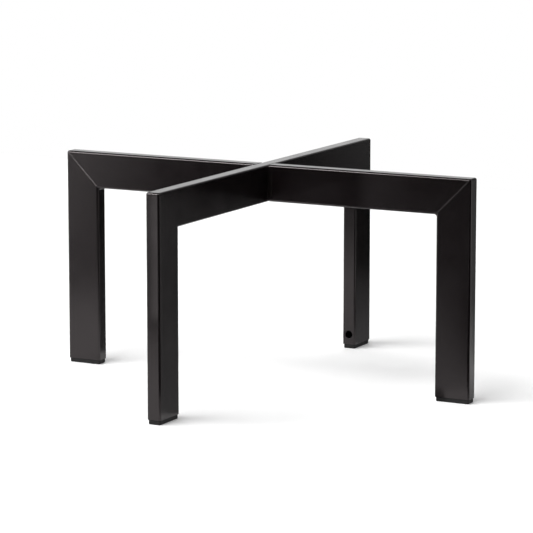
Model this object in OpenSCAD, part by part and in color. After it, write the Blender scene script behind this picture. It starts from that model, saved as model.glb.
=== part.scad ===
// Low four-legged stand of welded rectangular steel tube.
//
// Two inverted-U frames cross at right angles, with their tops level. The
// through beam runs in one piece from the front leg to the back leg. The other
// frame is cut in two halves, each butted square against a wide face of the
// through beam. Every leg meets its beam in a 45 degree mitre, with the deep
// side of the tube in the plane of the frame. Ribbed plastic inserts close the
// open ends of the legs and stand on the floor.
//
// Millimetres, +Z up. The origin is on the floor, under the middle of the
// crossing: front is -Y, back is +Y, left is -X and right is +X.

/* [Frame] */
// Length of each frame over the outside of its two legs
frame_span = 615; // [400:5:1000]
// Height of the stand, from the floor to the top of the beams
stand_h = 300; // [200:5:600]

/* [Tube] */
// Deep side of the tube, which lies in the plane of the frame
tube_depth = 50; // [36:1:80]
// Narrow side of the tube, across the frame
tube_width = 20; // [18:1:40]
// Wall thickness of the tube
tube_wall = 2; // [1:0.25:2.5]
// Outside radius of the tube's long edges
tube_r = 3; // [2.75:0.25:4]

/* [Welds] */
// Radius to which the outside corner of each mitre is ground
corner_r = 2.5; // [1:0.5:4]
// Leg length of the fillet weld in the inside corner of each mitre
mitre_leg = 4; // [2:0.5:8]
// Width of the groove weld along each mitre, on the wide faces
seam_width = 1.6; // [1:0.2:3]
// Depth of the bevelled groove that this weld fills
seam_depth = 0.8; // [0.3:0.1:0.9]
// Height at which the ground weld still stands proud of the wide face
seam_proud = 0.2; // [0.1:0.05:0.5]
// Leg length of the upright fillet welds at the crossing
crossing_leg = 5; // [2:0.5:8]
// Depth of the ground groove weld at the crossing below the tops of the tubes
crossing_sink = 0.5; // [0.2:0.1:1]

/* [Feet] */
// Height of the foot that shows below the tube
foot_h = 6; // [3:0.5:15]
// Distance that the foot stands back from the outside of the tube
foot_inset = 1.2; // [0.2:0.1:1.8]
// Rounding of the foot's lower edge
foot_edge_r = 1.2; // [0.4:0.1:2]
// Height of the ribbed plug inside the tube
plug_h = 8; // [6:1:30]
// Wall thickness of the hollow plug
plug_wall = 1.5; // [1:0.1:2.5]
// Number of ribs round the plug
rib_count = 2; // [1:1:3]
// Thickness of each rib
rib_t = 1.2; // [0.8:0.1:1.6]
// Distance that the ribs stand out from the plug
rib_reach = 1; // [0.5:0.1:1.5]
// Clearance between the ribs and the bore of the tube
rib_gap = 0.1; // [0.05:0.05:0.4]

/* [Leg hole] */
// Diameter of the hole in the inner face of the back leg
hole_d = 11; // [6:0.5:14]
// Distance from the top of the foot's plug up to the edge of the hole
hole_gap = 1; // [0.5:0.5:60]

/* [Hidden] */

$fn = 64;

// Direction in which each leg stands from the middle, in degrees from +X
right = 0;
back = 90;
left = 180;
front = 270;

// How far a cutting shape runs past what it cuts
over = 1;

// Bore of the tube
bore_depth = tube_depth - 2 * tube_wall;
bore_width = tube_width - 2 * tube_wall;
bore_r = tube_r - tube_wall;

// Outside and inside corner of a frame, in its own plane
outer_u = frame_span / 2;
inner_u = outer_u - tube_depth;
leg_axis_u = outer_u - tube_depth / 2;
beam_bottom = stand_h - tube_depth;
beam_axis_z = stand_h - tube_depth / 2;

// Half width of the tube, and the part of it that is flat
half_width = tube_width / 2;
flat_half_width = half_width - tube_r;

// A mitre's angle, and its length between the rounded tube edges
mitre_angle = 45;
seam_length = (tube_depth - 2 * tube_r) / cos(mitre_angle);
// Half width of the groove along a mitre, at a height above the wide face
function groove_half(height) = seam_width / 2 * (1 + height / seam_depth);

// Radius and centre of a weld's hollow face, for a leg length of 1
weld_hollow_r = 1.5;
weld_hollow_c = (1 + sqrt(2 * weld_hollow_r * weld_hollow_r - 1)) / 2;

// Plug of the foot
plug_depth = bore_depth - 2 * (rib_gap + rib_reach);
plug_width = bore_width - 2 * (rib_gap + rib_reach);
plug_r = 1;
rib_r = bore_r + rib_gap;
rib_pitch = (plug_h - rib_t) / rib_count;

// Height of the hole's centre above the floor
hole_z = foot_h + plug_h + hole_gap + hole_d / 2;

coat = "#1c1b1b";
weld_coat = "#232222";
plastic = "#0d0d0d";

// ---- Outlines ----

// Rectangle with rounded corners, centred
module rounded_rect(x, y, r) {
    square([x - 2 * r, y], center = true);
    square([x, y - 2 * r], center = true);
    for (sx = [-1, 1], sy = [-1, 1])
        translate([sx * (x / 2 - r), sy * (y / 2 - r)])
            circle(r);
}

// Section of the tube, with its narrow side along X
module tube_section() {
    difference() {
        rounded_rect(tube_width, tube_depth, tube_r);
        rounded_rect(bore_width, bore_depth, bore_r);
    }
}

// Fillet weld in a right-angled corner at the origin, with a hollow face
module fillet_outline(leg_length) {
    difference() {
        polygon(leg_length * [[0, 0], [1, 0], [0, 1]]);
        translate(leg_length * weld_hollow_c * [1, 1])
            circle(leg_length * weld_hollow_r);
    }
}

// Metal that grinding takes off the outside corner of a mitre
module ground_corner() {
    translate([outer_u - corner_r, stand_h - corner_r])
        difference() {
            square(corner_r + over);
            circle(corner_r);
        }
}

// ---- Tubes ----

// Keeps what lies inside a side view of the frame, as the saw and grinder leave it
module cut_to(side_view) {
    intersection() {
        children();
        rotate([90, 0, 0])
            linear_extrude(tube_width + 2 * over, center = true)
                difference() {
                    polygon(side_view);
                    for (m = [0, 1])
                        mirror([m, 0])
                            ground_corner();
                }
    }
}

// Horizontal tube in the beam's place
module beam_tube(from_u, to_u) {
    translate([from_u, 0, beam_axis_z])
        rotate([90, 0, 90])
            linear_extrude(to_u - from_u)
                tube_section();
}

// Bevelled groove, or the weld that fills it, along both wide faces of a mitre.
// The outline has its first coordinate outwards from the wide face.
module along_mitre(outline) {
    for (side = [-1, 1])
        translate([leg_axis_u, side * half_width, beam_axis_z])
            rotate([0, -mitre_angle, 0])
                rotate([90, 0, 90])
                    linear_extrude(seam_length, center = true)
                        polygon([for (p = outline) [side * p[0], p[1]]]);
}

module mitre_groove() {
    along_mitre([[over, -groove_half(over)], [-seam_depth, 0], [over, groove_half(over)]]);
}

// Beam in one piece, mitred at both ends
module through_beam() {
    color(coat)
        rotate(back)
            difference() {
                cut_to([[-outer_u, stand_h], [outer_u, stand_h],
                        [inner_u, beam_bottom], [-inner_u, beam_bottom]])
                    beam_tube(-outer_u, outer_u);
                for (m = [0, 1])
                    mirror([m, 0])
                        mitre_groove();
            }
}

// Half beam, square at the crossing and mitred at the leg
module cross_beam(direction) {
    color(coat)
        rotate(direction)
            difference() {
                cut_to([[half_width, stand_h], [outer_u, stand_h],
                        [inner_u, beam_bottom], [half_width, beam_bottom]])
                    beam_tube(half_width, outer_u);
                mitre_groove();
            }
}

// Leg, mitred at the top and open at the bottom
module leg(direction) {
    color(coat)
        rotate(direction)
            difference() {
                cut_to([[inner_u, foot_h], [outer_u, foot_h],
                        [outer_u, stand_h], [inner_u, beam_bottom]])
                    translate([leg_axis_u, 0, foot_h])
                        rotate(90)
                            linear_extrude(stand_h - foot_h)
                                tube_section();
                mitre_groove();
            }
}

// Leg with a round hole through its inner wall, just above the foot's plug
module holed_leg(direction) {
    color(coat)
        difference() {
            leg(direction);
            rotate(direction)
                translate([inner_u - over, 0, hole_z])
                    rotate([0, 90, 0])
                        cylinder(h = tube_wall + 2 * over, d = hole_d);
        }
}

// ---- Welds ----

// Weld of one mitre: a fillet in the inside corner, and a groove weld that is
// ground nearly flush along each wide face
module mitre_weld(direction) {
    color(weld_coat)
        rotate(direction) {
            translate([inner_u, 0, beam_bottom])
                rotate([90, 90, 0])
                    linear_extrude(2 * flat_half_width, center = true)
                        mirror([0, 1])
                            fillet_outline(mitre_leg);
            along_mitre([[0, -groove_half(0)], [-seam_depth, 0], [0, groove_half(0)],
                         [seam_proud, seam_width / 4], [seam_proud, -seam_width / 4]]);
        }
}

// Upright fillet weld between a half beam and the through beam
module crossing_fillet(side_x, side_y) {
    color(weld_coat)
        translate([side_x * half_width, side_y * half_width, beam_bottom + tube_r])
            linear_extrude(tube_depth - 2 * tube_r)
                mirror([side_x < 0 ? 1 : 0, 0])
                    mirror([0, side_y < 0 ? 1 : 0])
                        fillet_outline(crossing_leg);
}

// Groove welds above and below a half beam, in the gap that the through beam's
// rounded edges leave
module crossing_seam(direction) {
    rounding_z = tube_depth / 2 - tube_r;
    color(weld_coat)
        rotate(direction)
            translate([0, 0, beam_axis_z])
                rotate([90, 0, 0])
                    linear_extrude(2 * flat_half_width, center = true)
                        for (m = [0, 1])
                            mirror([0, m])
                                translate([flat_half_width, rounding_z])
                                    difference() {
                                        square([tube_r, tube_r - crossing_sink]);
                                        circle(tube_r);
                                    }
}

// ---- Feet ----

// Side view of the flange, rounded along its lower edges
module flange_view(width) {
    difference() {
        translate([-width / 2, 0])
            square([width, foot_h]);
        for (m = [0, 1])
            mirror([m, 0])
                translate([width / 2 - foot_edge_r, foot_edge_r])
                    mirror([0, 1])
                        difference() {
                            square(foot_edge_r + over);
                            circle(foot_edge_r);
                        }
    }
}

// Solid block under the tube that stands on the floor
module flange() {
    depth = tube_depth - 2 * foot_inset;
    width = tube_width - 2 * foot_inset;
    intersection() {
        linear_extrude(foot_h)
            rounded_rect(depth, width, tube_r - foot_inset / 2);
        rotate([90, 0, 0])
            linear_extrude(width + over, center = true)
                flange_view(depth);
        rotate([90, 0, 90])
            linear_extrude(depth + over, center = true)
                flange_view(width);
    }
}

// Hollow plug with ribs that grip the bore of the tube
module plug() {
    difference() {
        union() {
            linear_extrude(plug_h)
                rounded_rect(plug_depth, plug_width, plug_r);
            for (i = [1 : rib_count])
                translate([0, 0, i * rib_pitch])
                    linear_extrude(rib_t)
                        rounded_rect(bore_depth - 2 * rib_gap, bore_width - 2 * rib_gap, rib_r);
        }
        translate([0, 0, plug_wall])
            linear_extrude(plug_h)
                square([plug_depth - 2 * plug_wall, plug_width - 2 * plug_wall], center = true);
    }
}

// Plastic insert that closes the open end of a leg
module foot(direction) {
    color(plastic)
        rotate(direction)
            translate([leg_axis_u, 0, 0]) {
                flange();
                translate([0, 0, foot_h])
                    plug();
            }
}

// ---- Assembly ----

through_beam();
cross_beam(left);  // cross_beam_left
cross_beam(right);  // cross_beam_right
leg(front);  // leg_front
holed_leg(back);  // leg_back
leg(left);  // leg_left
leg(right);  // leg_right
mitre_weld(front);  // mitre_weld_front
mitre_weld(back);  // mitre_weld_back
mitre_weld(left);  // mitre_weld_left
mitre_weld(right);  // mitre_weld_right
crossing_fillet(-1, -1);  // crossing_fillet_front_left
crossing_fillet(1, -1);  // crossing_fillet_front_right
crossing_fillet(-1, 1);  // crossing_fillet_back_left
crossing_fillet(1, 1);  // crossing_fillet_back_right
crossing_seam(left);  // crossing_seam_left
crossing_seam(right);  // crossing_seam_right
foot(front);  // foot_front
foot(back);  // foot_back
foot(left);  // foot_left
foot(right);  // foot_right
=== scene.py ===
# %% [markdown]
# # A crossed stand of powder-coated steel tube
# The stand is a weldment of seven pieces of 50 x 20 mm tube: one beam that runs
# through, two half beams and four legs. Weld runs join them, a black powder coat
# covers them, and a plastic insert closes the open end of each leg.
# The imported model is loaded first. It is the frame of measures: each new piece
# takes its place and size from the node that it stands for.

# %% Load the frame
import math

import bmesh
import bpy
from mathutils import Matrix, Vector


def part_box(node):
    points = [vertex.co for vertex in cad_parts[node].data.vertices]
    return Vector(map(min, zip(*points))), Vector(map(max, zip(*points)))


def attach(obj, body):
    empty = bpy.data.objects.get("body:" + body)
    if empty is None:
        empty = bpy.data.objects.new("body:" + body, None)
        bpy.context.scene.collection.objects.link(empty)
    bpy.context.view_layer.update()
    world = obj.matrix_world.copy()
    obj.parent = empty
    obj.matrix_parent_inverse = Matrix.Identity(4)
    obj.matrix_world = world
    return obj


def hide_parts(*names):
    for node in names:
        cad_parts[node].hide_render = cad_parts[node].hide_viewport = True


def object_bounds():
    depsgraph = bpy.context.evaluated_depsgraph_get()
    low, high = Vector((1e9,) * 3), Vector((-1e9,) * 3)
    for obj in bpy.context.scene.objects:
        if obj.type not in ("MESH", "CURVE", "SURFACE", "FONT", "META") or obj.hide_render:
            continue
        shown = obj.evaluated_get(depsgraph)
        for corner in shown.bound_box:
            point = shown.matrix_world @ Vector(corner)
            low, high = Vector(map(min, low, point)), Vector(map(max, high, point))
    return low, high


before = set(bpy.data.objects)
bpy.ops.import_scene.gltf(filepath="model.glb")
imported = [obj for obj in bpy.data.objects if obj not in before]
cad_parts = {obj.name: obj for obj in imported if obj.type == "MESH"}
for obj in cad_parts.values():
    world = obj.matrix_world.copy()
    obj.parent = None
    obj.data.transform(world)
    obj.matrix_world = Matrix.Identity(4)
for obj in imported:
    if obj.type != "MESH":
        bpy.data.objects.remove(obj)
cad_low, cad_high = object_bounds()
print("CAD box in mm:", [round(1000 * v) for v in (*cad_low, *cad_high)])

# %% [markdown]
# ## Measures
# Lengths in Blender are metres, so one value turns millimetres into metres. The
# outside sizes come from the boxes of the CAD nodes. What a box can't tell, such
# as the wall of the tube, is named here from the trade sizes of such tube: a 2 mm
# wall, with 3 mm rounded edges where the strip was rolled over.

# %% Sizes of the tubes
MM = 0.001

half_span = cad_high.x
top = cad_high.z
half_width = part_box("through_beam")[1].x
beam_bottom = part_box("through_beam")[0].z
leg_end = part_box("leg_right")[0].z
tube_depth = top - beam_bottom
inner_reach = half_span - tube_depth
leg_middle = half_span - tube_depth / 2
beam_middle = top - tube_depth / 2
tube_wall = 2 * MM
tube_edge = 3 * MM
edge_steps = 6
tiny = 0.01 * MM
print("tube in mm:", round(tube_depth / MM), "x", round(2 * half_width / MM))

# %% [markdown]
# ## Helpers for modelling
# An operator acts on all that is selected, and loading the frame leaves its nodes
# selected. So each step first selects one piece alone. In edit mode a rule picks
# the vertices, edges or faces to work on, by their place or the way they face. A
# face looks along an axis when that part of its normal is over 0.9.

# %% Select one piece, and pick parts of it
facing = 0.9


def take(piece):
    """Makes the piece the only one selected."""
    bpy.ops.object.select_all(action="DESELECT")
    piece.select_set(True)
    bpy.context.view_layer.objects.active = piece
    return piece


def edit(piece):
    take(piece)
    bpy.ops.object.mode_set(mode="EDIT")


def finish_edit():
    bpy.ops.object.mode_set(mode="OBJECT")


def pick(piece, kind, rule):
    """In edit mode, selects the vertices, edges or faces that the rule accepts."""
    bpy.ops.mesh.select_mode(type=kind)
    bpy.ops.mesh.select_all(action="DESELECT")
    shape = bmesh.from_edit_mesh(piece.data)
    parts = {"VERT": shape.verts, "EDGE": shape.edges, "FACE": shape.faces}[kind]
    chosen = [part for part in parts if rule(part)]
    for part in chosen:
        part.select_set(True)
    shape.select_flush_mode()
    bmesh.update_edit_mesh(piece.data)
    return len(chosen)


def middle(edge):
    return (edge.verts[0].co + edge.verts[1].co) / 2


def span(edge):
    """How far an edge goes along X, Y and Z."""
    return edge.verts[1].co - edge.verts[0].co


# %% Place, copy, cut and smooth a piece
def settle(piece):
    """Puts the piece's place, turn and scale in its mesh."""
    take(piece)
    bpy.ops.object.transform_apply(location=True, rotation=True, scale=True)
    return piece


def block(name, size, place):
    """A cuboid with its corner edges along X, Y and Z."""
    bpy.ops.object.select_all(action="DESELECT")
    bpy.ops.mesh.primitive_cube_add(size=1, location=place, scale=size)
    piece = settle(bpy.context.object)
    piece.name = name
    return piece


def rod(radius, length, place, sides):
    """A cylinder along Y."""
    bpy.ops.object.select_all(action="DESELECT")
    bpy.ops.mesh.primitive_cylinder_add(
        vertices=sides,
        radius=radius,
        depth=length,
        location=place,
        rotation=(math.pi / 2, 0, 0),
    )
    return settle(bpy.context.object)


def turned_copy(piece, name, degrees):
    """A copy with a mesh of its own, turned about the middle of the stand."""
    take(piece)
    bpy.ops.object.duplicate(linked=False)
    copy = bpy.context.object
    copy.name = name
    copy.data.name = name
    copy.rotation_euler.z = math.radians(degrees)
    return settle(copy)


def saw(piece, point, waste_side):
    """Cuts a tube along a plane, drops the side that waste_side points to, and closes the ring."""
    edit(piece)
    bpy.ops.mesh.select_all(action="SELECT")
    bpy.ops.mesh.bisect(plane_co=point, plane_no=waste_side, clear_outer=True)
    pick(piece, "EDGE", lambda e: e.is_boundary)
    bpy.ops.mesh.bridge_edge_loops()
    finish_edit()


def apply_all(piece):
    take(piece)
    for modifier in list(piece.modifiers):
        bpy.ops.object.modifier_apply(modifier=modifier.name)
    return piece


def cut_away(piece, tool):
    """Takes the tool's shape out of the piece, and puts the tool away."""
    take(piece)
    cut = piece.modifiers.new("cut", "BOOLEAN")
    cut.object = tool
    cut.solver = "EXACT"
    apply_all(piece)
    bpy.data.objects.remove(tool)


def smooth(piece, angle=35):
    """Soft shading over the rounded edges, with the flats kept flat."""
    take(piece)
    bpy.ops.object.shade_smooth_by_angle(angle=math.radians(angle))
    weighted = piece.modifiers.new("flats", "WEIGHTED_NORMAL")
    weighted.keep_sharp = True
    return apply_all(piece)


# %% [markdown]
# ## One frame as a bent shell
# A leg, a beam and a leg make an upside-down U. Each tube could be an extruded
# section, but then the round edges would have to be fitted together at the
# mitres. It is simpler to make the whole U as one block with a window, round all
# its long edges at once and only then saw it at the mitres, because the sections
# then meet by themselves. The Solidify modifier gives the shell its 2 mm wall.

# %% Outline of the U
portal = block(
    "portal",
    (2 * half_span, 2 * half_width, top - leg_end),
    (0, 0, (top + leg_end) / 2),
)
edit(portal)
for point, across in (
    ((-inner_reach, 0, 0), (1, 0, 0)),
    ((inner_reach, 0, 0), (1, 0, 0)),
    ((0, 0, beam_bottom), (0, 0, 1)),
):
    bpy.ops.mesh.select_all(action="SELECT")
    bpy.ops.mesh.bisect(plane_co=point, plane_no=across)


def in_window(face):
    centre = face.calc_center_median()
    opening = abs(centre.x) < inner_reach and centre.z < beam_bottom - tiny
    return opening or centre.z < leg_end + tiny


removed = pick(portal, "FACE", in_window)
bpy.ops.mesh.delete(type="FACE")
pick(portal, "EDGE", lambda e: e.is_boundary and middle(e).z > leg_end + tiny)
bpy.ops.mesh.bridge_edge_loops()
bpy.ops.mesh.select_all(action="SELECT")
bpy.ops.mesh.normals_make_consistent(inside=False)
bpy.ops.mesh.dissolve_limited(angle_limit=math.radians(1))
finish_edit()
print("window cut:", removed, "faces removed,", len(portal.data.polygons), "left")

# %% Rounded edges and wall
def is_wide(face):
    return abs(face.normal.y) > facing


def is_tube_edge(edge):
    """An edge along the tube, or an outside corner of the U."""
    if len(edge.link_faces) != 2:
        return False
    wide = [is_wide(face) for face in edge.link_faces]
    at_corner = abs(middle(edge).x) > half_span - tiny and middle(edge).z > top - tiny
    return wide[0] != wide[1] or at_corner


edit(portal)
rounded = pick(portal, "EDGE", is_tube_edge)
bpy.ops.mesh.bevel(offset=tube_edge, segments=edge_steps, profile=0.5, affect="EDGES")
finish_edit()

take(portal)
wall = portal.modifiers.new("wall", "SOLIDIFY")
wall.thickness = tube_wall
wall.offset = -1
wall.use_even_offset = True
wall.material_offset = 1
apply_all(portal)
print("edges rounded:", rounded, "- shell faces:", len(portal.data.polygons))

# %% [markdown]
# ## Saw cuts
# A real frame is cut from straight tube: 45 degree mitres at the corners, and the
# second frame's beam in two halves, square against the first. Here the saw is the
# Bisect operator, which also closes the cut with the ring of the tube's wall. One
# leg and one half beam are sawn, then copied and turned for the others.
# The wide faces are bevelled along each mitre before welding, which is a small
# chamfer on the cut edge.

# %% Legs and beams
mitre_point = (leg_middle, 0, beam_middle)
towards_beam = Vector((-1, 0, 1)).normalized()
groove = 0.8 * MM


def bevel_mitres(piece):
    """Chamfers the edges of the cuts on the wide faces, for the weld."""
    def on_cut(edge):
        ends = [vertex.co for vertex in edge.verts]
        on_face = all(abs(end.y) > half_width - tiny for end in ends)
        to_plane = [abs(abs(end.x) - leg_middle - end.z + beam_middle) for end in ends]
        across_the_tube = tube_depth < edge.calc_length() < 2 * tube_depth
        return on_face and max(to_plane) < tiny and across_the_tube

    edit(piece)
    count = pick(piece, "EDGE", on_cut)
    bpy.ops.mesh.bevel(offset=groove, segments=1, affect="EDGES")
    finish_edit()
    return count


leg = turned_copy(portal, "leg", 0)
saw(leg, mitre_point, towards_beam)
leg_cuts = bevel_mitres(leg)

half_beam = turned_copy(portal, "half_beam", 0)
saw(half_beam, mitre_point, -towards_beam)
saw(half_beam, (half_width, 0, 0), (-1, 0, 0))
half_cuts = bevel_mitres(half_beam)

whole_beam = turned_copy(portal, "whole_beam", 0)
for side in (-1, 1):
    saw(whole_beam, (side * leg_middle, 0, beam_middle), (side, 0, -1))
beam_cuts = bevel_mitres(whole_beam)
print("cuts bevelled on leg, half beam, beam:", leg_cuts, half_cuts, beam_cuts)

# %% [markdown]
# The lower end of a leg is cut square and its burr is filed off, so its rim gets a
# fine bevel that catches the light.

# %% Filed rim of the legs
rim = 0.3 * MM


def on_rim(edge):
    at_end = all(vertex.co.z < leg_end + tiny for vertex in edge.verts)
    return at_end and len(edge.link_faces) == 2 and any(
        abs(face.normal.z) < 0.5 for face in edge.link_faces
    )


edit(leg)
rim_edges = pick(leg, "EDGE", on_rim)
bpy.ops.mesh.bevel(offset=rim, segments=2, affect="EDGES")
finish_edit()
print("rim edges:", rim_edges)

# %% The seven tubes
turns = {"right": 0, "back": 90, "left": 180, "front": 270}

tubes = {}
for side, degrees in turns.items():
    tubes["leg_" + side] = turned_copy(leg, "tube_leg_" + side, degrees)
for side in ("right", "left"):
    half = turned_copy(half_beam, "tube_cross_" + side, turns[side])
    tubes["cross_beam_" + side] = half
tubes["through_beam"] = turned_copy(whole_beam, "tube_through", turns["back"])
for pattern in (portal, leg, half_beam, whole_beam):
    bpy.data.objects.remove(pattern)
print("tubes:", sorted(tubes))

# %% [markdown]
# ## The hole in the back leg
# One leg has a round hole through its inner wall, close above the plastic foot.
# A drill leaves a slightly broken edge that the coat rounds further. The hole could
# be cut into the faces by hand, but a Boolean with a cylinder drills it as on the
# bench and leaves the wall closed. A narrow bevel then rounds the edge.

# %% Drill the back leg
hole_radius = 5.5 * MM
hole_height = 20.5 * MM
broken_edge = 0.4 * MM

back_leg = tubes["leg_back"]
hole_place = (0, inner_reach + tube_wall / 2, hole_height)
cut_away(back_leg, rod(hole_radius, 3 * tube_wall, hole_place, sides=48))


def on_hole_edge(edge):
    def at_edge(vertex):
        out = math.hypot(vertex.co.x, vertex.co.z - hole_height)
        return abs(out - hole_radius) < tiny and abs(vertex.co.y - inner_reach) < tiny

    return all(at_edge(vertex) for vertex in edge.verts)


edit(back_leg)
hole_edges = pick(back_leg, "EDGE", on_hole_edge)
bpy.ops.mesh.bevel(offset=broken_edge, segments=3, affect="EDGES")
finish_edit()
print("edges round the hole:", hole_edges)

for tube in tubes.values():
    smooth(tube)

# %% [markdown]
# ## Fillet welds
# A fillet weld fills a corner between two faces. Its face is slightly hollow, and
# the bead's solidified pools leave fine ripples across it. They could be a bump in
# the material, but they show in the outline of the corner, so they are modelled. A
# block in the corner gets its free edge bevelled away with a hollow profile. Then
# it is cut into thin slices, and every few slices one ring is pushed in.
# The first bead stands upright in the corner of the X and Y axes.

# %% One fillet weld
bevel_share = 0.96
hollow_profile = 0.17
slice_height = 0.4 * MM
slices_per_ripple = 4
ripple_depth = 0.18 * MM
ripple_lean = 0.3 * MM
bead_roughness = 0.08 * MM
soft_end = 0.9 * MM
end_slack = 0.2 * MM


def fillet_weld(name, leg_length, length):
    """A rippled bead along Z, with its root at the origin and its legs on +X and +Y."""
    size = (leg_length, leg_length, length)
    piece = block(name, size, (leg_length / 2, leg_length / 2, 0))
    edit(piece)
    pick(piece, "EDGE", lambda e: min(middle(e).x, middle(e).y) > leg_length - tiny)
    bpy.ops.mesh.bevel(
        offset=bevel_share * leg_length, segments=6, profile=hollow_profile, affect="EDGES"
    )
    pick(piece, "EDGE", lambda e: abs(span(e).z) > length / 2)
    slices = round(length / slice_height)
    bpy.ops.mesh.subdivide(number_cuts=slices - 1)

    def off_walls(vertex, share):
        """Whether a vertex is clear of both walls by this share of a leg."""
        return min(vertex.co.x, vertex.co.y) > share * leg_length

    def is_valley(vertex):
        ring = round((vertex.co.z / length + 0.5) * slices)
        return off_walls(vertex, 0.1) and ring % slices_per_ripple == 0 and 0 < ring < slices

    pick(piece, "VERT", is_valley)
    bpy.ops.transform.shrink_fatten(value=-ripple_depth)
    pick(piece, "VERT", lambda v: off_walls(v, 0.1))
    bpy.ops.transform.vertex_random(offset=bead_roughness, seed=5)
    pick(piece, "VERT", lambda v: off_walls(v, 0.15) and abs(v.co.z) < length / 2 - MM)
    bpy.ops.transform.translate(value=(0, 0, ripple_lean))

    def in_end_ring(edge):
        at_end = all(abs(v.co.z) > length / 2 - end_slack for v in edge.verts)
        on_bead = all(off_walls(v, 0.02) for v in edge.verts)
        return at_end and on_bead and abs(middle(edge).z) > length / 2 - end_slack / 2

    pick(piece, "EDGE", in_end_ring)
    bpy.ops.mesh.bevel(offset=soft_end, segments=3, affect="EDGES", clamp_overlap=True)
    finish_edit()
    return piece


upright_weld = fillet_weld("upright_weld", leg_length=5 * MM, length=44 * MM)
upright_weld.location = (half_width, half_width, beam_middle)
settle(upright_weld)
welds = {}
for corner, degrees in (
    ("back_right", 0), ("back_left", 90), ("front_left", 180), ("front_right", 270),
):
    bead = turned_copy(upright_weld, "bead_" + corner, degrees)
    welds["crossing_fillet_" + corner] = smooth(bead, angle=60)
bpy.data.objects.remove(upright_weld)
print("upright welds:", len(welds))

# %% [markdown]
# ## Mitre welds
# Each corner is welded in its inside corner and along both wide faces. The long
# seams are ground nearly flush before coating, so only a fine raised line shows.
# A line in the material would do from afar, but not for the mesh, so the seam is
# built: a block's lower face is drawn together to the root of the V, and its upper
# face is drawn in to the ground crown. A few hundredths of a millimetre of
# unevenness are what the grinder leaves.

# %% One mitre weld
seam_width = 1.6 * MM
seam_proud = 0.2 * MM
seam_length = (tube_depth - 2 * tube_edge) * math.sqrt(2) + MM
root_share = 0.02
crown_share = 0.62
grinder_marks = 0.03 * MM
seam_cuts = 70


def ground_seam(name):
    """A bead along X that fills a V groove, with its crown towards -Y."""
    piece = block(name, (seam_length, groove, seam_width), (0, groove / 2, 0))
    edit(piece)
    pick(piece, "FACE", lambda f: f.normal.y > facing)
    bpy.ops.transform.resize(value=(1, 1, root_share), center_override=(0, 0, 0))
    pick(piece, "FACE", lambda f: f.normal.y < -facing)
    bpy.ops.mesh.extrude_region_move(TRANSFORM_OT_translate={"value": (0, -seam_proud, 0)})
    bpy.ops.transform.resize(value=(1, 1, crown_share), center_override=(0, 0, 0))
    pick(piece, "EDGE", lambda e: abs(span(e).x) > seam_length / 2)
    bpy.ops.mesh.subdivide(number_cuts=seam_cuts)
    pick(piece, "VERT", lambda v: v.co.y < -seam_proud / 2)
    bpy.ops.transform.vertex_random(offset=grinder_marks, seed=9)
    finish_edit()
    return piece


def joined(pieces, name):
    bpy.ops.object.select_all(action="DESELECT")
    for piece in pieces:
        piece.select_set(True)
    bpy.context.view_layer.objects.active = pieces[0]
    bpy.ops.object.join()
    whole = bpy.context.object
    whole.name = name
    whole.data.name = name
    return whole


near_seam = ground_seam("near_seam")
near_seam.rotation_euler.y = math.radians(-45)
near_seam.location = (leg_middle, -half_width, beam_middle)
settle(near_seam)
far_seam = ground_seam("far_seam")
far_seam.rotation_euler = (math.pi, math.radians(-45), 0)
far_seam.location = (leg_middle, half_width, beam_middle)
settle(far_seam)
inside_bead = fillet_weld("inside_bead", leg_length=3 * MM, length=14 * MM)
inside_bead.rotation_euler = (-math.pi / 2, 0, math.pi)
inside_bead.location = (inner_reach, 0, beam_bottom)
settle(inside_bead)
lowest = min(v.co.z for v in inside_bead.data.vertices)
print("inside bead from", round(lowest / MM, 1), "mm up")
mitre_weld = joined([near_seam, far_seam, inside_bead], "mitre_weld")
for side, degrees in turns.items():
    bead = turned_copy(mitre_weld, "bead_mitre_" + side, degrees)
    welds["mitre_weld_" + side] = smooth(bead, angle=20)
bpy.data.objects.remove(mitre_weld)

# %% [markdown]
# ## Seams over and under the crossing
# The through beam's rounded edge leaves a small gap above and below each half
# beam. A groove weld fills it to half a millimetre below the tops. A block has
# the round edge cut out of it, and gets fine ripples across its top.

# %% Seams of the crossing
sink = 0.5 * MM
seam_slices = 35
seam_ripple = 0.15 * MM
flat_half = half_width - tube_edge
seam_size = (tube_edge, 2 * flat_half, tube_edge - sink)
seam_place = (half_width - tube_edge / 2, 0, top - sink - seam_size[2] / 2)
over_seam = block("over_seam", seam_size, seam_place)
round_edge = rod(tube_edge, 4 * flat_half, (flat_half, 0, top - tube_edge), sides=64)
cut_away(over_seam, round_edge)


def is_seam_valley(vertex):
    ring = round((vertex.co.y / flat_half / 2 + 0.5) * seam_slices)
    return vertex.co.z > top - sink - tiny and ring % slices_per_ripple == 0


edit(over_seam)
pick(over_seam, "EDGE", lambda e: abs(span(e).y) > flat_half)
bpy.ops.mesh.subdivide(number_cuts=seam_slices - 1)
pick(over_seam, "VERT", is_seam_valley)
bpy.ops.transform.translate(value=(0, 0, -seam_ripple))
bpy.ops.mesh.select_all(action="SELECT")
bpy.ops.mesh.normals_make_consistent(inside=False)
finish_edit()

under_seam = turned_copy(over_seam, "under_seam", 0)
under_seam.rotation_euler.x = math.pi
under_seam.location.z = 2 * beam_middle
settle(under_seam)
crossing_seam = joined([over_seam, under_seam], "crossing_seam")
for side in ("right", "left"):
    bead = turned_copy(crossing_seam, "bead_seam_" + side, turns[side])
    welds["crossing_seam_" + side] = smooth(bead, angle=40)
bpy.data.objects.remove(crossing_seam)
print("welds:", len(welds))

# %% [markdown]
# ## Feet
# Each foot is one moulding: a flange that stands on the floor, and a hollow plug
# with two ribs that grip the bore of the tube. The flange's block is rounded, its
# top face is inset to the plug's outline, and the plug is extruded upwards step
# by step: neck, rib, neck, rib, and then down again into the hollow.

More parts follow.
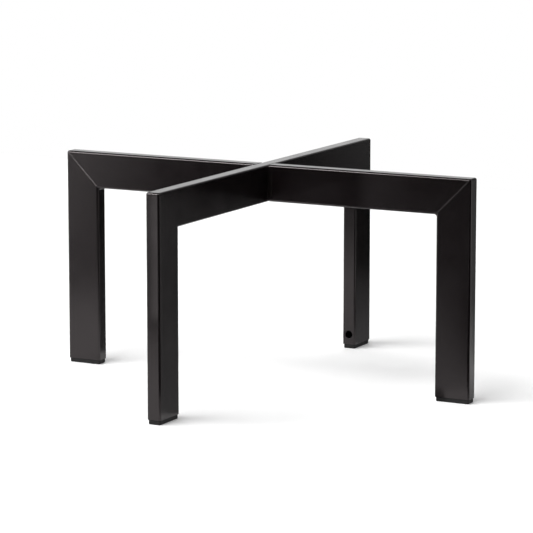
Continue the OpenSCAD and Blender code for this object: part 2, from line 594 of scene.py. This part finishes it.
# %% One foot
foot_inset = 1.2 * MM
foot_corner = 2.4 * MM
foot_lip = 1.2 * MM
foot_top_edge = 0.25 * MM
bore_gap = 0.1 * MM
rib_reach = 1 * MM
rib_height = 1.2 * MM
neck_height = 2.2 * MM
plug_wall = 1.5 * MM
hollow_depth = 6.5 * MM
flange_least_area = 100 * MM * MM


def drawn_in(size, by):
    """An outline that is narrower by the same amount on each side."""
    return (size[0] - 2 * by, size[1] - 2 * by)


tube_size = (tube_depth, 2 * half_width)
flange_size = drawn_in(tube_size, foot_inset)
rib_size = drawn_in(drawn_in(tube_size, tube_wall), bore_gap)
neck_size = drawn_in(rib_size, rib_reach)
foot = block("foot", (*flange_size, leg_end), (leg_middle, 0, leg_end / 2))
edit(foot)
pick(foot, "EDGE", lambda e: abs(span(e).z) > leg_end / 2)
bpy.ops.mesh.bevel(offset=foot_corner, segments=6, affect="EDGES")
pick(foot, "EDGE", lambda e: max(v.co.z for v in e.verts) < tiny)
bpy.ops.mesh.bevel(offset=foot_lip, segments=4, affect="EDGES")
pick(foot, "EDGE", lambda e: min(v.co.z for v in e.verts) > leg_end - tiny)
bpy.ops.mesh.bevel(offset=foot_top_edge, segments=2, affect="EDGES")


def on_top(face):
    """The flange's flat top, and not a strip of its rounding."""
    return face.normal.z > facing and face.calc_area() > flange_least_area


def widen(old, new):
    """Extrudes the selected top face on the spot and brings it to a new outline."""
    bpy.ops.mesh.extrude_region_move(TRANSFORM_OT_translate={"value": (0, 0, 0)})
    bpy.ops.transform.resize(
        value=(new[0] / old[0], new[1] / old[1], 1),
        center_override=(leg_middle, 0, 0),
    )


def rise(height):
    bpy.ops.mesh.extrude_region_move(TRANSFORM_OT_translate={"value": (0, 0, height)})


pick(foot, "FACE", on_top)
widen(drawn_in(flange_size, foot_top_edge), neck_size)
rise(neck_height + rib_height)
for last in (False, True):
    widen(neck_size, rib_size)
    rise(rib_height)
    if not last:
        widen(rib_size, neck_size)
        rise(neck_height)
bpy.ops.mesh.inset(thickness=plug_wall + rib_reach)
rise(-hollow_depth)
finish_edit()
print("foot top in mm:", round(max(v.co.z for v in foot.data.vertices) / MM, 2))

feet = {}
for side, degrees in turns.items():
    feet["foot_" + side] = smooth(turned_copy(foot, "insert_" + side, degrees))
bpy.data.objects.remove(foot)
print("feet:", sorted(feet))

# %% [markdown]
# ## Helpers for materials
# A hex colour is written as a screen shows it, and Blender's sockets want linear
# light, so one function turns the one into the other. Another adds a node, with
# its settings and its links.

# %% Colour and node helpers
def linear(hex_colour):
    def channel(text):
        value = int(text, 16) / 255
        return value / 12.92 if value <= 0.04045 else ((value + 0.055) / 1.055) ** 2.4

    code = hex_colour.lstrip("#")
    return (channel(code[0:2]), channel(code[2:4]), channel(code[4:6]), 1.0)


def node(tree, kind, settings=None, links=None):
    """Adds a node; a setting is a socket's value or a property, a link is an output."""
    added = tree.nodes.new(kind)
    for name, value in (settings or {}).items():
        if isinstance(name, int) or name in added.inputs:
            added.inputs[name].default_value = value
        else:
            setattr(added, name, value)
    for name, output in (links or {}).items():
        tree.links.new(output, added.inputs[name])
    return added


def new_material(name):
    """A material with only its output node."""
    material = bpy.data.materials.new(name)
    material.use_nodes = True
    material.node_tree.nodes.clear()
    output = node(material.node_tree, "ShaderNodeOutputMaterial")
    return material, material.node_tree, output


# %% [markdown]
# ## Powder coat
# The steel is sprayed with dry black powder that melts and flows in an oven. It
# cures to a satin film with a faint orange peel, waves of one to two millimetres
# across, and where the film lies thicker it is a little glossier. Noise on Object
# coordinates, which are metres here, gives both: a scale of 600 makes about one
# bump per 1.7 mm. The black isn't neutral, but leans a little to red, in its
# pigment and in its sheen.

# %% Powder-coated steel
warm_sheen = "#fff5f6"
peel_scale = 600.0
film_scale = 35.0
gloss_spread = 0.03
noise_low = 0.3
noise_high = 0.7


def powder_coat(name, colour, roughness, peel_height):
    material, tree, output = new_material(name)
    place = node(tree, "ShaderNodeTexCoord").outputs["Object"]
    peel = node(
        tree, "ShaderNodeTexNoise", {"Scale": peel_scale, "Detail": 2.0}, {"Vector": place}
    )
    film = node(
        tree, "ShaderNodeTexNoise", {"Scale": film_scale, "Detail": 3.0}, {"Vector": place}
    )
    gloss = node(
        tree,
        "ShaderNodeMapRange",
        {
            "From Min": noise_low,
            "From Max": noise_high,
            "To Min": roughness - gloss_spread,
            "To Max": roughness + gloss_spread,
        },
        {"Value": film.outputs["Fac"]},
    )
    bump = node(
        tree,
        "ShaderNodeBump",
        {"Strength": 1.0, "Distance": peel_height},
        {"Height": peel.outputs["Fac"]},
    )
    shader = node(
        tree,
        "ShaderNodeBsdfPrincipled",
        {"Base Color": linear(colour), "IOR": 1.5, "Specular Tint": linear(warm_sheen)},
        {"Roughness": gloss.outputs["Result"], "Normal": bump.outputs["Normal"]},
    )
    tree.links.new(shader.outputs["BSDF"], output.inputs["Surface"])
    return material


coat = powder_coat("satin_black_powder_coat", "#100c0d", 0.2, 0.006 * MM)
weld_coat = powder_coat("powder_coat_over_weld", "#110d0d", 0.22, 0.01 * MM)
print("coats:", coat.name, "and", weld_coat.name)

# %% [markdown]
# ## Bare steel inside
# Powder hardly reaches into a closed tube, so its bore stays grey mill steel with
# a dull oxide. It shows only through the drilled hole.

# %% Bare steel in the bore
oxide_scale = 120.0
bore_steel, tree, output = new_material("mill_steel_in_the_bore")
place = node(tree, "ShaderNodeTexCoord").outputs["Object"]
scale_marks = node(
    tree, "ShaderNodeTexNoise", {"Scale": oxide_scale, "Detail": 4.0}, {"Vector": place}
)
steel_tone = node(tree, "ShaderNodeValToRGB", {}, {"Fac": scale_marks.outputs["Fac"]})
steel_tone.color_ramp.elements[0].color = linear("#3a3836")
steel_tone.color_ramp.elements[1].color = linear("#5b5956")
shader = node(
    tree,
    "ShaderNodeBsdfPrincipled",
    {"Metallic": 1.0, "Roughness": 0.55},
    {"Base Color": steel_tone.outputs["Color"]},
)
tree.links.new(shader.outputs["BSDF"], output.inputs["Surface"])
print("inside the tubes:", bore_steel.name)

# %% [markdown]
# ## Moulded plastic
# The inserts are low-density polyethylene. The mould's fine spark-eroded grain,
# drawn here at 0.8 mm so that it shows, makes them more matt than the coat.

# %% Black polyethylene
grain_scale = 1250.0
grain_depth = 0.03 * MM
foot_plastic, tree, output = new_material("moulded_black_polyethylene")
place = node(tree, "ShaderNodeTexCoord").outputs["Object"]
grain = node(
    tree, "ShaderNodeTexNoise", {"Scale": grain_scale, "Detail": 2.0}, {"Vector": place}
)
grain_bump = node(
    tree,
    "ShaderNodeBump",
    {"Strength": 1.0, "Distance": grain_depth},
    {"Height": grain.outputs["Fac"]},
)
sheen = node(
    tree,
    "ShaderNodeMapRange",
    {"To Min": 0.6, "To Max": 0.72},
    {"Value": grain.outputs["Fac"]},
)
shader = node(
    tree,
    "ShaderNodeBsdfPrincipled",
    {"Base Color": linear("#0b0909"), "IOR": 1.51, "Specular IOR Level": 0.35},
    {"Roughness": sheen.outputs["Result"], "Normal": grain_bump.outputs["Normal"]},
)
tree.links.new(shader.outputs["BSDF"], output.inputs["Surface"])
print("feet:", foot_plastic.name)

# %% [markdown]
# ## Dressing the frame
# Each new piece gets its finish and rides on the one body, and the CAD node that it
# stands for is hidden.

# %% Finishes and bodies
def dress(piece, cad_node, slot_name, *materials):
    piece.data.materials.clear()
    for material in materials:
        piece.data.materials.append(material)
    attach(piece, "root")
    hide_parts(cad_node)


for cad_node, tube in tubes.items():
    dress(tube, cad_node, "powder_coated_steel", coat, bore_steel)
for cad_node, bead in welds.items():
    dress(bead, cad_node, "coated_weld", weld_coat)
for cad_node, insert in feet.items():
    dress(insert, cad_node, "foot_plastic", foot_plastic)
print("pieces dressed:", len(tubes) + len(welds) + len(feet))

# %% [markdown]
# ## Floor and background
# The stand is on a white sheet, with white all around. For the camera and for
# reflections the sheet gives some light of its own, so that it is plain white
# where the lamps reach it, and the shadows at the feet stay as what is left
# without the lamps. The camera sees the surroundings white everywhere, but for
# reflections the ceiling is dark. It draws the dark line along the rounded edges.

# %% White floor and white surroundings
def seen_directly(tree):
    """1 for what the camera, a reflection or a clear material sees, otherwise 0."""
    rays = node(tree, "ShaderNodeLightPath")
    both = node(
        tree,
        "ShaderNodeMath",
        {"operation": "MAXIMUM"},
        {0: rays.outputs["Is Camera Ray"], 1: rays.outputs["Is Glossy Ray"]},
    )
    return node(
        tree,
        "ShaderNodeMath",
        {"operation": "MAXIMUM"},
        {0: both.outputs[0], 1: rays.outputs["Is Transmission Ray"]},
    ).outputs[0]


def stage_plane(name, centre, width, depth, material):
    bpy.ops.object.select_all(action="DESELECT")
    bpy.ops.mesh.primitive_plane_add(size=1, location=centre)
    plane = bpy.context.object
    plane.name = name
    plane.scale = (width, depth, 1)
    plane.data.materials.append(material)
    return plane


floor_glow = 0.22
floor_side = 3.6
floor_white, tree, output = new_material("white_sheet")
glow = node(
    tree, "ShaderNodeMath", {"operation": "MULTIPLY", 1: floor_glow}, {0: seen_directly(tree)}
)
paper = node(
    tree,
    "ShaderNodeBsdfPrincipled",
    {"Base Color": linear("#f2f2f2"), "Roughness": 1.0, "Emission Color": (1, 1, 1, 1)},
    {"Emission Strength": glow.outputs[0]},
)
tree.links.new(paper.outputs["BSDF"], output.inputs["Surface"])
floor = stage_plane("floor", (0, 0, 0), floor_side, floor_side, floor_white)

ceiling_starts = math.sin(math.radians(22))
ceiling_full = math.sin(math.radians(32))
ceiling_light = 0.04
world = bpy.data.worlds.new("white_surroundings")
bpy.context.scene.world = world
world.use_nodes = True
tree = world.node_tree
tree.nodes.clear()
direction = node(tree, "ShaderNodeTexCoord").outputs["Generated"]
height = node(tree, "ShaderNodeSeparateXYZ", {}, {"Vector": direction}).outputs["Z"]
wall_light = node(
    tree,
    "ShaderNodeMapRange",
    {
        "From Min": ceiling_starts,
        "From Max": ceiling_full,
        "To Min": 1.0,
        "To Max": ceiling_light,
    },
    {"Value": height},
)
room = node(
    tree,
    "ShaderNodeMath",
    {"operation": "MULTIPLY"},
    {0: wall_light.outputs["Result"], 1: seen_directly(tree)},
)
camera_ray = node(tree, "ShaderNodeLightPath").outputs["Is Camera Ray"]
shown = node(tree, "ShaderNodeMath", {"operation": "MAXIMUM"}, {0: room.outputs[0], 1: camera_ray})
white = node(
    tree, "ShaderNodeBackground", {"Color": (1, 1, 1, 1)}, {"Strength": shown.outputs[0]}
)
node(tree, "ShaderNodeOutputWorld", {}, {"Surface": white.outputs["Background"]})
print(floor.name, "glows at", floor_glow, "and the ceiling at", ceiling_light)

# %% [markdown]
# ## Cards
# A glossy black object shows little but what it reflects, so it is lit with cards,
# which give its faces their tones. Each card here shines by itself with a stated
# light, from black at 0 to the white of the sheet at 1 and beyond, and it can fade
# from one end to the other. Cards are seen by reflections alone: they hide nothing
# from the camera, and the lamps shine past them.

# %% Cards that only reflections see
def outward(azimuth, elevation):
    """A direction away from the stand, by degrees around from +X and degrees up."""
    around, up = math.radians(azimuth), math.radians(elevation)
    return Vector(
        (math.cos(around) * math.cos(up), math.sin(around) * math.cos(up), math.sin(up))
    )


def card(name, start_light, end_light):
    """A material with one light at the card's start, which fades to that of its end."""
    material, tree, output = new_material(name)
    along = node(tree, "ShaderNodeTexCoord").outputs["Object"]
    run = node(tree, "ShaderNodeSeparateXYZ", {}, {"Vector": along})
    light = node(
        tree,
        "ShaderNodeMapRange",
        {"From Min": -0.5, "From Max": 0.5, "To Min": start_light, "To Max": end_light},
        {"Value": run.outputs["X"]},
    )
    shader = node(tree, "ShaderNodeEmission", {}, {"Strength": light.outputs["Result"]})
    tree.links.new(shader.outputs["Emission"], output.inputs["Surface"])
    return material


def hide_card(plane):
    plane.visible_camera = False
    plane.visible_diffuse = False
    plane.visible_shadow = False
    plane.visible_transmission = False
    return plane


def standing_card(name, start, end, low, high, start_light, end_light):
    """A card between two points of the floor plan, standing from one height to another."""
    across = Vector(end) - Vector(start)
    centre = (Vector(start) + Vector(end)) / 2
    place = (centre.x, centre.y, (low + high) / 2)
    material = card(name, start_light, end_light)
    plane = stage_plane(name, place, across.length, high - low, material)
    plane.rotation_euler = (math.pi / 2, 0, math.atan2(across.y, across.x))
    return hide_card(plane)


def lying_card(name, start, end, width, height, start_light, end_light):
    """A level card along a line of the floor plan."""
    along = Vector(end) - Vector(start)
    centre = (Vector(start) + Vector(end)) / 2
    material = card(name, start_light, end_light)
    plane = stage_plane(name, (*centre, height), along.length, width, material)
    plane.rotation_euler.z = math.atan2(along.y, along.x)
    return hide_card(plane)


def tilted_card(name, azimuth, elevation, distance, width, height, light):
    """A card that faces the stand from this direction."""
    away = outward(azimuth, elevation)
    plane = stage_plane(name, distance * away, width, height, card(name, light, light))
    plane.rotation_euler = away.to_track_quat("Z", "Y").to_euler()
    return hide_card(plane)


# %% [markdown]
# ## The strip and the walls
# A bright strip high up in front draws the light line along the edges. It is narrow
# and far away, because a wide one would turn the tops white when they are seen from
# behind. Two small ones light the seams of the left and the right corner. Black and
# grey walls close off the dark sides of the room. They end low enough for the edges
# to look over them to the strips.

# %% Strips and walls
strips = [
    tilted_card("edge_strip", 235.5, 34, 8.0, 1.5, 3.3, 19.0),
    tilted_card("mitre_strip", 291, 36, 4.0, 1.1, 1.1, 24.0),
    standing_card("left_strip", (-0.677, -0.061), (-0.635, -0.297), 0.47, 0.7, 4.0, 4.0),
]
walls = [
    standing_card("front_wall", (-1.3, -1.85), (4.0, -1.85), 0, 1.3, 0, 0),
    standing_card("right_wall", (2.0, -1.85), (2.0, 0.2), 0, 1.3, 0, 0),
    standing_card("back_wall", (0.15, 1.1), (0.42, 0.884), 0, 1.5, 0.35, 0.05),
    standing_card("back_gap", (0.42, 0.884), (0.525, 0.8), 0.075, 1.5, 0, 0.02),
    standing_card("back_gap_right", (0.525, 0.8), (0.61, 0.732), 0, 1.5, 0, 0),
    standing_card("back_right_wall", (0.61, 0.732), (1.4, 0.1), 0, 1.5, 0.3, 1.5),
]
print("strips and walls:", len(strips) + len(walls))

# %% [markdown]
# ## Low cards
# The wide and narrow faces of the legs and beams are upright, and seen from a
# little above they reflect the foot of the walls and the sheet. Short cards stand
# there for the beams. On the sheet lies one card for each face of a leg, named
# after it. Its start is what the foot of the leg reflects, its end what the top
# does. A few black ones beside them draw the dark line along the legs' edges.

# %% Short standing cards
short_cards = [
    standing_card("back_gap_low", (0.46, 0.852), (0.525, 0.8), 0, 0.075, 0.5, 0.6),
    standing_card("back_foot", (-0.3, 1.0), (0.15, 1.1), 0, 0.2, 0, 0),
    standing_card("back_right_foot", (0.15, 1.08), (0.42, 0.864), 0, 0.12, 0, 0.02),
    standing_card("front_foot_left", (-0.95, -1.0), (-0.79, -1.0), 0, 0.11, 0.9, 0.6),
    standing_card("front_foot", (-0.79, -1.0), (-0.325, -1.0), 0, 0.11, 0.02, 0),
    standing_card("front_foot_right", (-0.325, -1.0), (0.2, -1.0), 0, 0.16, 0.08, 0.12),
    standing_card("front_reflector", (-0.084, -0.45), (-0.054, -0.45), 0.11, 0.3, 1.7, 1.7),
    standing_card("front_beam", (-0.79, -1.0), (-0.46, -1.0), 0.11, 0.18, 0.02, 0),
]
print("short cards:", len(short_cards))

# %% Cards on the sheet
sheet_cards = [
    lying_card("front_floor", (-0.72, -1.0), (0.2, -1.0), 0.3, 1.2 * MM, 0.1, 0),
    lying_card("front_right_dark", (0.33, -0.93), (2.0, -0.93), 1.82, 0.4 * MM, 0, 0),
    lying_card("front_middle_dark", (0.413, -0.17), (-0.067, -1.09), 0.3, 0.5 * MM, 0, 0),
    lying_card("right_dark", (0.73, -0.02), (2.0, -0.02), 0.7, 0.3 * MM, 0, 0),
    lying_card("back_floor", (-0.03, 0.4), (0.36, 1.14), 0.6, 0.4 * MM, 0.1, 0),
    lying_card("left_leg_side", (-0.22, 0.07), (0.1, 0.68), 0.16, 0.5 * MM, 0.2, 0.02),
    lying_card("back_leg_side", (0.02, 0.3), (0.3, 0.83), 0.09, 0.6 * MM, 0.3, 0.14),
    lying_card("front_leg_side", (0.03, -0.24), (0.56, 0.77), 0.22, 0.7 * MM, 0.3, 0),
    lying_card("right_leg_foot", (0.32, 0.02), (0.42, 0.21), 0.13, 0.8 * MM, 0.55, 1.0),
    lying_card("right_leg_side", (0.57, 0.475), (0.69, 0.695), 0.1, 0.8 * MM, 0.95, 0.45),
    lying_card("right_leg_front", (0.24, -0.08), (-0.24, -1.0), 0.09, 0.9 * MM, 0.85, 0.3),
    lying_card("back_leg_front", (-0.34, -0.46), (-0.63, -1.015), 0.2, 1.0 * MM, 0.7, 0),
    lying_card("left_leg_front", (-0.565, -0.445), (-0.845, -0.98), 0.22, 1.1 * MM, 0.7, 0.25),
]
print("cards on the sheet:", len(sheet_cards))

# %% [markdown]
# ## Camera
# A long lens from 4 m away draws the stand almost without perspective. The camera
# stands to the right of the front leg and looks down by ten degrees, so that the
# tops of the beams just show.

# %% Camera
view_azimuth = math.radians(27.69)
view_elevation = math.radians(9.75)
view_distance = 4.133
aim = Vector((0.0005, 0.0019, 0.1587))

camera_data = bpy.data.cameras.new("camera")
camera_data.sensor_width = 36
camera_data.lens = 205.6
camera_data.clip_end = 100
camera = bpy.data.objects.new("camera", camera_data)
bpy.context.scene.collection.objects.link(camera)
camera.location = aim + view_distance * Vector((
    math.sin(view_azimuth) * math.cos(view_elevation),
    -math.cos(view_azimuth) * math.cos(view_elevation),
    math.sin(view_elevation),
))
camera.rotation_euler = (math.pi / 2 - view_elevation, 0, view_azimuth)
bpy.context.scene.camera = camera
print("camera at", [round(value, 2) for value in camera.location])

# %% [markdown]
# ## Lamps
# A strong softbox stands high in front, and a weaker one behind it opens the
# shadows. They light the sheet and draw the shadows at the feet. Reflections
# don't show them, as the strips and cards already draw the highlights.

# %% Lamps
def softbox(name, azimuth, elevation, distance, width, height, power):
    """A rectangular lamp that faces the stand from this direction."""
    data = bpy.data.lights.new(name, "AREA")
    data.shape = "RECTANGLE"
    data.size = width
    data.size_y = height
    data.energy = power
    lamp = bpy.data.objects.new(name, data)
    bpy.context.scene.collection.objects.link(lamp)
    away = outward(azimuth, elevation)
    lamp.location = distance * away
    lamp.rotation_euler = away.to_track_quat("Z", "Y").to_euler()
    lamp.visible_camera = False
    lamp.visible_glossy = False
    return lamp


key = softbox("key", 240, 60, 8.0, 6.8, 3.6, 740)
back = softbox("back", 120, 50, 8.0, 7.0, 3.6, 240)
print("lamps:", key.name, key.data.energy, "W,", back.name, back.data.energy, "W")

# %% [markdown]
# ## View
# The Standard view transform shows the colours as they were given.

# %% View
bpy.context.scene.view_settings.view_transform = "Standard"
bpy.context.view_layer.update()
